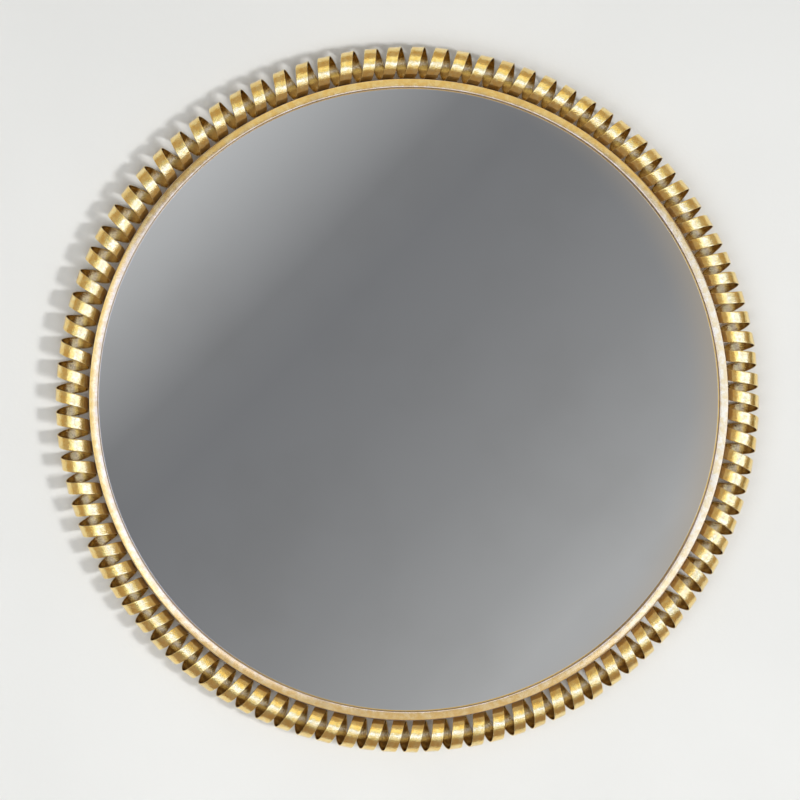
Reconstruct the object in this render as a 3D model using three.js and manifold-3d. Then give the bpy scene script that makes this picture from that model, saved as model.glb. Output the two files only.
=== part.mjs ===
// Round convex wall mirror. A gilded steel hoop, with a lip inside its front, holds a domed
// mirror glass, and a flat metal strip, wound like a ribbon round a rod, circles the hoop as
// its frame.
//
// Frame, in millimetres: the origin is the point where the wall hook bears on the hanging ring.
// X runs to the viewer's right, Z runs up, and the front of the mirror looks along -Y.
// "Depth" is the distance in front of the wall. "Clock angle" runs clockwise from the top,
// as the viewer sees it.

import * as THREE from 'three';
import { mergeVertices } from 'three/addons/utils/BufferGeometryUtils.js';
import Module from 'manifold-3d';

const wasm = await Module();
wasm.setup();

// ---------------------------------------------------------------- driving dimensions

const overallDiameter = 600;
const touchGap = 0.3;               // between pieces that lie against each other

// wound strip
const coilTubeDiameter = 28;        // over the outside of the turns
const stripWidth = 10;
const stripThickness = 1;
const turnsPerLength = [25, 25, 25, 23];
const stepsPerTurn = 10;
const coilWallGap = 2.5;
const firstTurnAngle = -2;          // clock angle of turn 0 without the drift, in degrees
const spacingDrift = 2.97;          // the turns were spread by hand: they lag and lead by this, in degrees
const spacingDriftAngle = 37.3;
const spacingRipple = 1;
const spacingRippleAngle = 11;
const leastSelfGap = 0.4;

// hoop
const hoopWall = 2;
const hoopWallGap = 2;              // from the wall to the rear edge of the hoop
const lipWidth = 7.3;
const lipThickness = 2.4;
const lipEdgeRadius = 0.8;
const lipSetback = 3.5;             // from the front of the turns back to the front of the lip

// glass and what lies behind it
const glassThickness = 4;
const domeRise = 30;                // of the glass over the opening of the lip
const glassSideGap = 0.6;
const packingWidth = 15;
const packingEdgeThickness = 4;
const packingSideGap = 1.2;
const boardThickness = 5;
const boardSideGap = 1.2;

// turn buttons, which hold the back board in the hoop
const buttonCount = 6;
const firstButtonAngle = 30;
const lugWidth = 16;
const lugLength = 15;
const buttonWidth = 12;
const buttonReach = 24;             // from the screw to the tip
const buttonThickness = 1.5;
const buttonScrewInset = 8.5;       // from the hoop's inner wall to the screw
const notchMargin = 1.5;
const cutOverrun = 1;               // a cutter runs this far past both faces
const screwDiameter = 4;
const screwHeadDiameter = 8;
const screwHeadHeight = 2;
const screwTipInset = 0.8;          // the screws stop this far short of the front of what they enter
const screwCrownBevel = 0.9;

// hanging plate and ring
const hookInset = 110;              // from the top of the mirror down to the hook
const wireDiameter = 3;
const ringHalfWidth = 10.5;         // to the middle of the wire
const ringStraight = 8;
const ringCornerRadius = 3;
const knuckleWall = 1.3;
const knuckleBoreGap = 0.4;
const plateWidth = 16;
const plateLength = 46;
const plateThickness = 1.2;
const plateScrewPlaces = [12, 36];  // below the ring's bar
const plateScrewDiameter = 3.5;
const plateScrewHeadDiameter = 7;
const plateScrewHeadHeight = 1.6;

// wall bumpers
const bumperCount = 4;
const firstBumperAngle = 45;
const bumperCircleRadius = 225;
const bumperFaceDiameter = 18;
const bumperFootDiameter = 22;
const bumperEdgeRadius = 1;

// roundness
const ringSegments = 72;
const domeSteps = 6;
const smallSegments = 14;
const wireSides = 8;
const cornerSteps = 3;
const bowSteps = 10;
const edgeSteps = 2;

// ---------------------------------------------------------------- places worked out from them

const degree = Math.PI / 180;

const coilTubeRadius = coilTubeDiameter / 2;
const coilRingRadius = overallDiameter / 2 - coilTubeRadius;
const coilDepth = coilWallGap + coilTubeRadius;
const turnCount = turnsPerLength.reduce((sum, turns) => sum + turns, 0);

const hoopOuterRadius = coilRingRadius - coilTubeRadius - touchGap;
const hoopInnerRadius = hoopOuterRadius - hoopWall;
const openingRadius = hoopOuterRadius - lipWidth;
const lipFrontDepth = coilDepth + coilTubeRadius - lipSetback;
const lipRearDepth = lipFrontDepth - lipThickness;

const glassRadius = hoopInnerRadius - glassSideGap;
const domeRadius = (openingRadius ** 2 + domeRise ** 2) / (2 * domeRise);
const domeRearRadius = domeRadius - glassThickness;
const domeCentreDepth = lipRearDepth - touchGap - Math.sqrt(domeRadius ** 2 - openingRadius ** 2);
const glassEdgeDepth = domeDepth(domeRearRadius, glassRadius);

const packingRadius = hoopInnerRadius - packingSideGap;
const packingRearDepth = glassEdgeDepth - touchGap - packingEdgeThickness;
const boardRadius = hoopInnerRadius - boardSideGap;
const boardFrontDepth = packingRearDepth - touchGap;
const boardRearDepth = boardFrontDepth - boardThickness;
const bumperHeight = boardRearDepth - touchGap;

const buttonScrewRadius = hoopInnerRadius - buttonScrewInset;
const hoopFlatRadius = hoopInnerRadius * Math.cos(Math.PI / ringSegments);
const lugOuterRadius = Math.sqrt(hoopFlatRadius ** 2 - (lugWidth / 2) ** 2) - touchGap;
const buttonRearDepth = boardRearDepth - touchGap - buttonThickness;
const screwHeadDepth = buttonRearDepth - touchGap;
const screwHoleDiameter = screwDiameter + 2 * touchGap;

const plateRearDepth = boardRearDepth - touchGap - plateThickness;
const boreRadius = wireDiameter / 2 + knuckleBoreGap;
const knuckleRadius = boreRadius + knuckleWall;
const ringDepth = boardRearDepth - touchGap - knuckleRadius;
const hangDrop = overallDiameter / 2 - hookInset;  // from the hook down to the centre of the mirror
const ringBarDrop = ringStraight + ringHalfWidth - wireDiameter / 2;
const ringBarHeight = hangDrop - ringBarDrop;  // over the centre of the mirror
const plateScrewHoleDiameter = plateScrewDiameter + 2 * touchGap;

function domeDepth(sphereRadius, radius) {
  return domeCentreDepth + Math.sqrt(sphereRadius ** 2 - radius ** 2);
}

// ---------------------------------------------------------------- shape helpers

// A closed mesh whose shared corners are merged, with its faces turned outwards.
function closedGeometry(positions, indices) {
  const geometry = new THREE.BufferGeometry();
  geometry.setAttribute('position', new THREE.Float32BufferAttribute(positions, 3));
  geometry.setIndex(signedVolume(positions, indices) < 0 ? [...indices].reverse() : indices);
  return geometry;
}

function signedVolume(positions, indices) {
  const corner = (place) => new THREE.Vector3().fromArray(positions, 3 * indices[place]);
  let volume = 0;
  for (let place = 0; place < indices.length; place += 3) {
    volume += corner(place).dot(corner(place + 1).cross(corner(place + 2))) / 6;
  }
  return volume;
}

function positionsOnly(geometry) {
  const bare = geometry.index ? geometry.toNonIndexed() : geometry.clone();
  bare.deleteAttribute('normal');
  bare.deleteAttribute('uv');
  const merged = mergeVertices(bare, 1e-4);
  return closedGeometry(Array.from(merged.attributes.position.array), Array.from(merged.index.array));
}

// A solid of revolution about the mirror's own axis. Each profile point is [radius, depth].
function revolve(profile, segments = ringSegments) {
  const points = profile.map(([radius, depth]) => new THREE.Vector2(radius, -depth));
  return positionsOnly(new THREE.LatheGeometry(points, segments));
}

// A flat plate between two depths. The drawing's +Y points down the mirror, or inward from its rim.
function plate(shape, rearDepth, frontDepth) {
  const geometry = new THREE.ExtrudeGeometry(shape, {
    depth: frontDepth - rearDepth,
    bevelEnabled: false,
    curveSegments: smallSegments,
  });
  geometry.rotateX(-Math.PI / 2);
  geometry.translate(0, -frontDepth, 0);
  return positionsOnly(geometry);
}

// A solid through a row of sections, each a list of corners in the same order.
function sweep(sections, closed) {
  const sides = sections[0].length;
  const positions = sections.flat().flatMap((corner) => corner.toArray());
  const indices = [];
  const spans = closed ? sections.length : sections.length - 1;
  for (let span = 0; span < spans; span += 1) {
    const near = span * sides;
    const far = ((span + 1) % sections.length) * sides;
    for (let side = 0; side < sides; side += 1) {
      const next = (side + 1) % sides;
      indices.push(near + side, far + side, far + next);
      indices.push(near + side, far + next, near + next);
    }
  }
  if (!closed) {
    const last = (sections.length - 1) * sides;
    for (let side = 1; side < sides - 1; side += 1) {
      indices.push(0, side, side + 1);
      indices.push(last, last + side + 1, last + side);
    }
  }
  return closedGeometry(positions, indices);
}

// A quarter round from one profile direction to the next, about a centre.
function roundedCorner(radius, depth, edge, fromAngle) {
  const points = [];
  for (let step = 0; step <= edgeSteps; step += 1) {
    const angle = (fromAngle + 90 * step / edgeSteps) * degree;
    points.push([radius + edge * Math.cos(angle), depth + edge * Math.sin(angle)]);
  }
  return points;
}

function toManifold(geometry) {
  return new wasm.Manifold(new wasm.Mesh({
    numProp: 3,
    vertProperties: Float32Array.from(geometry.attributes.position.array),
    triVerts: Uint32Array.from(geometry.index.array),
  }));
}

function fromManifold(solid) {
  const mesh = solid.getMesh();
  const geometry = new THREE.BufferGeometry();
  geometry.setAttribute('position', new THREE.BufferAttribute(mesh.vertProperties, 3));
  geometry.setIndex(new THREE.BufferAttribute(mesh.triVerts, 1));
  return geometry;
}

// ---------------------------------------------------------------- materials

const finishes = {
  gold: { color: 0xd8b56c, roughness: 0.28, metalness: 1 },
  mirror: { color: 0xa9abad, roughness: 0.04, metalness: 1 },
  felt: { color: 0x2c2c2e, roughness: 0.95, metalness: 0 },
  hardboard: { color: 0x5b4330, roughness: 0.8, metalness: 0 },
  zinc: { color: 0xb9bcbf, roughness: 0.4, metalness: 1 },
  rubber: { color: 0x1c1c1d, roughness: 0.85, metalness: 0 },
};

function named(name, geometry, finish) {
  const mesh = new THREE.Mesh(geometry, new THREE.MeshStandardMaterial(finishes[finish]));
  mesh.name = name;
  return mesh;
}

// Stands a mesh or group at a clock angle and radius, with its own Z pointing away from the axis.
function atClock(object, angle, radius) {
  object.rotation.y = angle * degree;
  object.position.set(radius * Math.sin(angle * degree), 0, radius * Math.cos(angle * degree));
  return object;
}

function evenAngles(count, first) {
  return Array.from({ length: count }, (_, index) => first + 360 * index / count);
}

// ---------------------------------------------------------------- hoop, glass, packing and board

function rimHoop() {
  const edge = lipEdgeRadius;
  const profile = [
    [hoopInnerRadius, hoopWallGap],
    [hoopOuterRadius, hoopWallGap],
    ...roundedCorner(hoopOuterRadius - edge, lipFrontDepth - edge, edge, 0),
    ...roundedCorner(openingRadius + edge, lipFrontDepth - edge, edge, 90),
    [openingRadius, lipRearDepth],
    [hoopInnerRadius, lipRearDepth],
    [hoopInnerRadius, hoopWallGap],
  ];
  return named('rim_hoop', revolve(profile), 'gold');
}

function mirrorGlass() {
  const face = (sphereRadius) => Array.from({ length: domeSteps + 1 }, (_, step) => {
    const radius = glassRadius * step / domeSteps;
    return [radius, domeDepth(sphereRadius, radius)];
  });
  const profile = [...face(domeRearRadius), ...face(domeRadius).reverse()];
  return named('mirror_glass', revolve(profile), 'mirror');
}

function glassPacking() {
  const insideRadius = packingRadius - packingWidth;
  const profile = [
    [insideRadius, packingRearDepth],
    [packingRadius, packingRearDepth],
    [packingRadius, domeDepth(domeRearRadius, packingRadius) - touchGap],
    [insideRadius, domeDepth(domeRearRadius, insideRadius) - touchGap],
    [insideRadius, packingRearDepth],
  ];
  return named('glass_packing', revolve(profile), 'felt');
}

function backBoard() {
  const disc = revolve([
    [0, boardRearDepth],
    [boardRadius, boardRearDepth],
    [boardRadius, boardFrontDepth],
    [0, boardFrontDepth],
  ]);
  let board = toManifold(disc);
  for (const angle of evenAngles(buttonCount, firstButtonAngle)) {
    board = board.subtract(toManifold(boardNotch().rotateY(angle * degree)));
  }
  for (const place of plateScrewPlaces) {
    board = board.subtract(toManifold(boardHole().translate(0, 0, ringBarHeight - place)));
  }
  return named('back_board', fromManifold(board), 'hardboard');
}

function boardHole() {
  return revolve([
    [0, boardRearDepth - cutOverrun],
    [plateScrewHoleDiameter / 2, boardRearDepth - cutOverrun],
    [plateScrewHoleDiameter / 2, boardFrontDepth + cutOverrun],
    [0, boardFrontDepth + cutOverrun],
  ], smallSegments);
}

// The gap in the board's edge in which a lug stands, and over which its button lies when turned aside.
function boardNotch() {
  const lugInnerRadius = lugOuterRadius - lugLength;
  const innerRadius = Math.min(lugInnerRadius, buttonScrewRadius - buttonWidth / 2) - notchMargin;
  const leftSide = Math.max(lugWidth / 2, buttonWidth / 2) + notchMargin;
  const rightSide = Math.max(lugWidth / 2, buttonReach) + notchMargin;
  const box = new THREE.BoxGeometry(
    leftSide + rightSide,
    boardThickness + 2 * cutOverrun,
    hoopOuterRadius - innerRadius,
  );
  const middleDepth = (boardRearDepth + boardFrontDepth) / 2;
  box.translate((rightSide - leftSide) / 2, -middleDepth, (hoopOuterRadius + innerRadius) / 2);
  return positionsOnly(box);
}

// ---------------------------------------------------------------- wound strip

// Clock angle of the strip, in degrees, after a number of turns.
function clockAngle(turn) {
  const even = 360 * turn / turnCount;
  const drift = spacingDrift * Math.cos((even - spacingDriftAngle) * degree);
  const ripple = spacingRipple * Math.cos((2 * even - spacingRippleAngle) * degree);
  return even + firstTurnAngle + drift + ripple;
}

// The four corners of the strip after a number of turns. Whole turns lie at the outermost point,
// half turns lie against the hoop.
function stripSection(turn) {
  const middleRadius = coilTubeRadius - stripThickness / 2;
  const place = (at) => {
    const clock = clockAngle(at) * degree;
    const round = (90 + 360 * at) * degree;
    const radius = coilRingRadius + middleRadius * Math.sin(round);
    const depth = coilDepth + middleRadius * Math.cos(round);
    return new THREE.Vector3(radius * Math.sin(clock), -depth, radius * Math.cos(clock));
  };
  const nudge = 1e-4;
  const clock = clockAngle(turn) * degree;
  const round = (90 + 360 * turn) * degree;
  const along = place(turn + nudge).sub(place(turn - nudge)).normalize();
  const outward = new THREE.Vector3(
    Math.sin(round) * Math.sin(clock),
    -Math.cos(round),
    Math.sin(round) * Math.cos(clock),
  );
  const across = along.clone().cross(outward).normalize();
  const centre = place(turn);
  const corner = (side, face) => centre.clone()
    .addScaledVector(across, side * stripWidth / 2)
    .addScaledVector(outward, face * stripThickness / 2);
  return [corner(-1, -1), corner(1, -1), corner(1, 1), corner(-1, 1)];
}

// One length of strip, from the hoop round and round to the hoop again.
function ribbonLength(index) {
  const startTurn = turnsPerLength.slice(0, index).reduce((sum, turns) => sum + turns, 0) - 0.5;
  const turns = turnsPerLength[index];
  const turnLength = Math.hypot(Math.PI * coilTubeDiameter, 2 * Math.PI * coilRingRadius / turnCount);
  const endTrim = touchGap / 2 / turnLength;
  const steps = turns * stepsPerTurn;
  const sections = [];
  for (let step = 0; step <= steps; step += 1) {
    const trim = (step === 0 ? endTrim : 0) - (step === steps ? endTrim : 0);
    sections.push(stripSection(startTurn + step / stepsPerTurn + trim));
  }
  reportSelfGap(`ribbon_coil_${index + 1}`, sections);
  return named(`ribbon_coil_${index + 1}`, sweep(sections, false), 'gold');
}

// Prints the least distance from the corners of one turn to those of the next turns.
function reportSelfGap(name, sections) {
  let least = Infinity;
  for (let near = 0; near < sections.length; near += 1) {
    const farEnd = Math.min(sections.length, near + 2 * stepsPerTurn);
    for (let far = near + Math.ceil(stepsPerTurn / 2); far < farEnd; far += 1) {
      for (const corner of sections[near]) {
        for (const other of sections[far]) {
          least = Math.min(least, corner.distanceTo(other));
        }
      }
    }
  }
  const verdict = least > leastSelfGap ? 'clear' : 'TOO CLOSE';
  console.log(`${name}: least gap between turns ${least.toFixed(2)} mm, ${verdict}`);
}

// ---------------------------------------------------------------- turn buttons

function roundHole(diameter, x = 0, y = 0) {
  const hole = new THREE.Path();
  hole.absarc(x, y, diameter / 2, 0, 2 * Math.PI);
  return hole;
}

function turnLug() {
  const outerEnd = buttonScrewRadius - lugOuterRadius;
  const shape = new THREE.Shape([
    new THREE.Vector2(-lugWidth / 2, outerEnd),
    new THREE.Vector2(lugWidth / 2, outerEnd),
    new THREE.Vector2(lugWidth / 2, outerEnd + lugLength),
    new THREE.Vector2(-lugWidth / 2, outerEnd + lugLength),
  ]);
  shape.holes.push(roundHole(screwHoleDiameter));
  return plate(shape, boardRearDepth, boardFrontDepth);
}

function turnButton() {
  const half = buttonWidth / 2;
  const shape = new THREE.Shape();
  shape.absarc(0, 0, half, Math.PI, 2 * Math.PI);
  shape.absarc(0, buttonReach - half, half, 0, Math.PI);
  shape.holes.push(roundHole(screwHoleDiameter));
  return plate(shape, buttonRearDepth, buttonRearDepth + buttonThickness);
}

// A pan-headed screw that points forward, with its head at the given depth.
function screw(headDiameter, headHeight, shankDiameter, headFrontDepth, tipDepth) {
  const headRearDepth = headFrontDepth - headHeight;
  return revolve([
    [0, headRearDepth],
    [headDiameter / 2 - screwCrownBevel, headRearDepth],
    [headDiameter / 2, headRearDepth + screwCrownBevel],
    [headDiameter / 2, headFrontDepth],
    [shankDiameter / 2, headFrontDepth],
    [shankDiameter / 2, tipDepth],
    [0, tipDepth],
  ], smallSegments);
}

function turnButtonSets() {
  const tipDepth = boardFrontDepth - screwTipInset;
  return evenAngles(buttonCount, firstButtonAngle).map((angle, index) => {
    const turnScrew = screw(screwHeadDiameter, screwHeadHeight, screwDiameter, screwHeadDepth, tipDepth);
    const set = new THREE.Group();
    set.add(named(`turn_lug_${index + 1}`, turnLug(), 'gold'));
    set.add(named(`turn_button_${index + 1}`, turnButton(), 'zinc'));
    set.add(named(`turn_screw_${index + 1}`, turnScrew, 'zinc'));
    return atClock(set, angle, buttonScrewRadius);
  });
}

// ---------------------------------------------------------------- hanging plate, ring and screws

// These are drawn about the ring's bar, with the bar's middle line at height 0.

function hangerPlate() {
  const half = plateWidth / 2;
  const shape = new THREE.Shape();
  shape.moveTo(-half, 0);
  shape.lineTo(half, 0);
  shape.absarc(0, plateLength - half, half, 0, Math.PI);
  shape.closePath();
  for (const place of plateScrewPlaces) {
    shape.holes.push(roundHole(plateScrewHoleDiameter, 0, place));
  }
  const strap = plate(shape, plateRearDepth, plateRearDepth + plateThickness);
  const barrel = cylinderAcross(knuckleRadius, plateWidth);
  const bore = cylinderAcross(boreRadius, plateWidth + 2 * cutOverrun);
  const solid = toManifold(strap).add(toManifold(barrel)).subtract(toManifold(bore));
  return named('hanger_plate', fromManifold(solid), 'zinc');
}

// A cylinder along X at the depth of the hanging ring.
function cylinderAcross(radius, length) {
  const cylinder = new THREE.CylinderGeometry(radius, radius, length, smallSegments);
  cylinder.rotateZ(Math.PI / 2);
  cylinder.translate(0, -ringDepth, 0);
  return positionsOnly(cylinder);
}

// The middle line of the ring's wire: a straight bar, two corners, two sides and a bow over the top.
function ringPath() {
  const path = [];
  const cornerX = ringHalfWidth - ringCornerRadius;
  const arc = (x, z, radius, from, to, steps) => {
    for (let step = 0; step <= steps; step += 1) {
      const angle = (from + (to - from) * step / steps) * degree;
      path.push({ x: x + radius * Math.cos(angle), z: z + radius * Math.sin(angle), angle });
    }
  };
  arc(cornerX, ringCornerRadius, ringCornerRadius, -90, 0, cornerSteps);
  arc(0, ringStraight, ringHalfWidth, 0, 180, bowSteps);
  arc(-cornerX, ringCornerRadius, ringCornerRadius, 180, 270, cornerSteps);
  return path;
}

function hangerRing() {
  const wireRadius = wireDiameter / 2;
  const sections = ringPath().map(({ x, z, angle }) => Array.from({ length: wireSides }, (_, side) => {
    const around = 2 * Math.PI * side / wireSides;
    const outward = wireRadius * Math.cos(around);
    return new THREE.Vector3(
      x + outward * Math.cos(angle),
      -ringDepth + wireRadius * Math.sin(around),
      z + outward * Math.sin(angle),
    );
  }));
  return named('hanger_ring', sweep(sections, true), 'zinc');
}

function hangerScrews() {
  const headDepth = plateRearDepth - touchGap;
  const tipDepth = boardFrontDepth - screwTipInset;
  return plateScrewPlaces.map((place, index) => {
    const geometry = screw(
      plateScrewHeadDiameter,
      plateScrewHeadHeight,
      plateScrewDiameter,
      headDepth,
      tipDepth,
    );
    const mesh = named(`hanger_screw_${index + 1}`, geometry, 'zinc');
    mesh.position.z = -place;
    return mesh;
  });
}

function hanger() {
  const set = new THREE.Group();
  set.add(hangerPlate(), hangerRing(), ...hangerScrews());
  set.position.z = ringBarHeight;
  return set;
}

// ---------------------------------------------------------------- wall bumpers

function wallBumpers() {
  const edge = bumperEdgeRadius;
  return evenAngles(bumperCount, firstBumperAngle).map((angle, index) => {
    const geometry = revolve([
      [0, 0],
      [bumperFaceDiameter / 2 - edge, 0],
      [bumperFaceDiameter / 2, edge],
      [bumperFootDiameter / 2, bumperHeight],
      [0, bumperHeight],
    ], smallSegments);
    return atClock(named(`wall_bumper_${index + 1}`, geometry, 'rubber'), angle, bumperCircleRadius);
  });
}

// ---------------------------------------------------------------- assembly

const mirror = new THREE.Group();
mirror.name = 'convex_mirror';
mirror.add(rimHoop());
mirror.add(mirrorGlass());
mirror.add(glassPacking());
mirror.add(backBoard());
mirror.add(...turnsPerLength.map((_, index) => ribbonLength(index)));
mirror.add(...turnButtonSets());
mirror.add(hanger());
mirror.add(...wallBumpers());
mirror.position.set(0, ringDepth, -hangDrop);

export default mirror;
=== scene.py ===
"""Round convex wall mirror, dressed in fine meshes and finishes over its fixed frame.

Everything is in metres. +Z is up, +X is the viewer's right, and the mirror faces -Y. "Depth" is
the distance in front of the wall, and "clock angle" runs clockwise from the top, as the viewer
sees it. Numbers that end in _mm are millimetres.
"""

import logging
import math
import random
from dataclasses import dataclass, field
from enum import Enum
from typing import Any, Callable, Iterable, Sequence

import bmesh
import bpy
from mathutils import Matrix, Vector

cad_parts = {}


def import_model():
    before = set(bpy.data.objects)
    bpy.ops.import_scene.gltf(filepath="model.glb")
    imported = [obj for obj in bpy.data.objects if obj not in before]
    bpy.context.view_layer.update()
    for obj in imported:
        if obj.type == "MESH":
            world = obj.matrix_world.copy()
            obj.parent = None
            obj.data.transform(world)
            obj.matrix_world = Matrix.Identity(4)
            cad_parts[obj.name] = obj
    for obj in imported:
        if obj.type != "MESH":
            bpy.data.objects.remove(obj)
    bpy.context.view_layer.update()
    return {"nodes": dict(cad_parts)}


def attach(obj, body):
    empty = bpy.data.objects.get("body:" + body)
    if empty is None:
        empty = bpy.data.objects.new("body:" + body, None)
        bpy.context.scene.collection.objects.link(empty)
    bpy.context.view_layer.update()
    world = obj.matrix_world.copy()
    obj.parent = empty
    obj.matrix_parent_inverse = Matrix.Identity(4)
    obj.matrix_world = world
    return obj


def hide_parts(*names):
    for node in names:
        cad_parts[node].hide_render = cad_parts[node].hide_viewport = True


log = logging.getLogger("convex_mirror")

MM = 0.001
IMAGE_PIXELS = 800
PHOTO_MM_PER_PIXEL = 0.8500
HANG_DROP_MM = 190.0
RING_DEPTH_MM = 6.00079
BOARD_REAR_MM = RING_DEPTH_MM + 3.5
BOARD_FRONT_MM = BOARD_REAR_MM + 5.0
SCREW_TIP_INSET_MM = 0.8
TOUCH_GAP_MM = 0.3
COIL_DEPTH_MM = 16.5
HOLE_STEPS = 24

Colour = tuple[float, float, float]
Place = tuple[float, float, float]
Point = tuple[float, float]


class Body(Enum):
    """The moving bodies of the mirror, apart from the numbered turn buttons."""

    MIRROR = "mirror"
    HANGER_RING = "hanger_ring"


class Ray(Enum):
    """The kinds of light path that the room tells apart."""

    CAMERA = "Is Camera Ray"
    GLOSSY = "Is Glossy Ray"
    TRANSMISSION = "Is Transmission Ray"


class Blend(Enum):
    """How one colour goes over another."""

    MIX = "MIX"
    MULTIPLY = "MULTIPLY"


# ------------------------------------------------------------------------------- shading


class Signal:
    """An output socket of a node tree, on which arithmetic adds Math nodes."""

    def __init__(self, shading: "Shading", socket: bpy.types.NodeSocket) -> None:
        """Keeps the tree and the socket."""
        self.shading = shading
        self.socket = socket

    def math(self, operation: str, *values: "Signal | float") -> "Signal":
        """The value of a Math node with this operation and these inputs, in order."""
        return self.shading.node("ShaderNodeMath", {"operation": operation}, dict(enumerate(values)))

    def __add__(self, other: "Signal | float") -> "Signal":
        """self + other."""
        return self.math("ADD", self, other)

    def __radd__(self, other: float) -> "Signal":
        """other + self."""
        return self.math("ADD", other, self)

    def __sub__(self, other: "Signal | float") -> "Signal":
        """self - other."""
        return self.math("SUBTRACT", self, other)

    def __rsub__(self, other: float) -> "Signal":
        """other - self."""
        return self.math("SUBTRACT", other, self)

    def __mul__(self, other: "Signal | float") -> "Signal":
        """self * other."""
        return self.math("MULTIPLY", self, other)

    def between(self, low: float, high: float) -> "Signal":
        """A smooth step.

        Args:
            low: Where the step is 0.
            high: Where it is 1.

        Returns:
            The step, from 0 to 1.
        """
        settings = {"interpolation_type": "SMOOTHSTEP"}
        values = {"Value": self, "From Min": low, "From Max": high}
        return self.shading.node("ShaderNodeMapRange", settings, values, "Result")


class Shading:
    """A node tree and the one method that adds nodes to it."""

    def __init__(self, tree: bpy.types.NodeTree) -> None:
        """Keeps the node tree of a material or world, and empties it."""
        self.tree = tree
        tree.nodes.clear()

    def node(
        self,
        kind: str,
        settings: dict[str, Any] | None = None,
        values: dict[str | int, Any] | None = None,
        output: str | int = 0,
    ) -> Signal:
        """Adds one node.

        Args:
            kind: The node's type.
            settings: Its settings, set first; "stops" are a colour ramp's places and colours.
            values: Its inputs by name or place, each a Signal or a constant.
            output: The output to read.

        Returns:
            The output.
        """
        node = self.tree.nodes.new(kind)
        for name, value in (settings or {}).items():
            if name == "stops":
                self.set_stops(node.color_ramp, value)
            else:
                setattr(node, name, value)
        for name, value in (values or {}).items():
            if isinstance(value, Signal):
                self.tree.links.new(value.socket, node.inputs[name])
            elif isinstance(value, tuple) and len(value) == 3 and node.inputs[name].type == "RGBA":
                node.inputs[name].default_value = (*value, 1.0)
            else:
                node.inputs[name].default_value = value
        return Signal(self, node.outputs[output]) if node.outputs else Signal(self, node.inputs[0])

    def set_stops(self, ramp: bpy.types.ColorRamp, stops: Sequence[tuple[float, Colour]]) -> None:
        """Sets a colour ramp's stops.

        Args:
            ramp: The ramp, with its two first stops.
            stops: Place and colour of each stop, in order.
        """
        while len(ramp.elements) < len(stops):
            ramp.elements.new(0.5)
        for element, (place, colour) in zip(ramp.elements, stops):
            element.position = place
            element.color = (*colour, 1.0)

    def own_place(self) -> Signal:
        """The point on the piece, in metres in the piece's own frame."""
        return self.node("ShaderNodeTexCoord", output="Object")

    def stretched(self, place: Signal, scale: Place) -> Signal:
        """The place, stretched or squeezed along each axis."""
        return self.node("ShaderNodeMapping", {}, {"Vector": place, "Scale": scale})

    def noise(self, place: Signal, size_mm: float, detail: float = 3.0, rough: float = 0.5) -> Signal:
        """Soft noise about 0.5, in patches about size_mm wide, with finer layers as strong as rough."""
        values = {"Vector": place, "Scale": 1 / (size_mm * MM), "Detail": detail, "Roughness": rough}
        return self.node("ShaderNodeTexNoise", {}, values, 0)

    def over(
        self, mask: Signal | float, under: Signal | Colour, top: Signal | Colour, how: Blend = Blend.MIX
    ) -> Signal:
        """Lays one colour over another.

        Args:
            mask: How much of the top shows.
            under: The colour below.
            top: The colour above.
            how: How they blend.

        Returns:
            The mixed colour.
        """
        settings = {"data_type": "RGBA", "blend_type": how.value, "clamp_factor": True}
        factor, first_colour, second_colour, mixed_colour = 0, 6, 7, 2
        values = {factor: mask, first_colour: under, second_colour: top}
        return self.node("ShaderNodeMix", settings, values, mixed_colour)

    def attribute(self, name: str) -> Signal:
        """A number that the mesh carries at each corner."""
        settings = {"attribute_type": "GEOMETRY", "attribute_name": name}
        return self.node("ShaderNodeAttribute", settings, {}, "Fac")

    def bump(self, height: Signal, depth_mm: float, strength: float = 1.0) -> Signal:
        """The normal of small relief, whose height runs from 0 to 1 and is depth_mm deep."""
        values = {"Height": height, "Distance": depth_mm * MM, "Strength": strength}
        return self.node("ShaderNodeBump", {}, values, "Normal")

    def finish_surface(self, **inputs: Any) -> None:
        """Adds the surface shader and the output.

        Args:
            inputs: The shader's inputs, with underscores for spaces.
        """
        values = {name.replace("_", " "): value for name, value in inputs.items()}
        shader = self.node("ShaderNodeBsdfPrincipled", {}, values)
        self.output(shader)

    def output(self, shader: Signal) -> None:
        """Sends a shader to the material's output."""
        self.node("ShaderNodeOutputMaterial", {}, {"Surface": shader})


@dataclass(frozen=True)
class Finish:
    """What every finish has: a name, and a method that paints it."""

    name: str

    def paint(self, shading: Shading) -> None:
        """Builds the finish's nodes."""
        raise NotImplementedError

    def material(self) -> bpy.types.Material:
        """The finish as a material, made once."""
        found = bpy.data.materials.get(self.name)
        if found:
            return found
        made = bpy.data.materials.new(self.name)
        made.use_nodes = True
        self.paint(Shading(made.node_tree))
        return made


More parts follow.
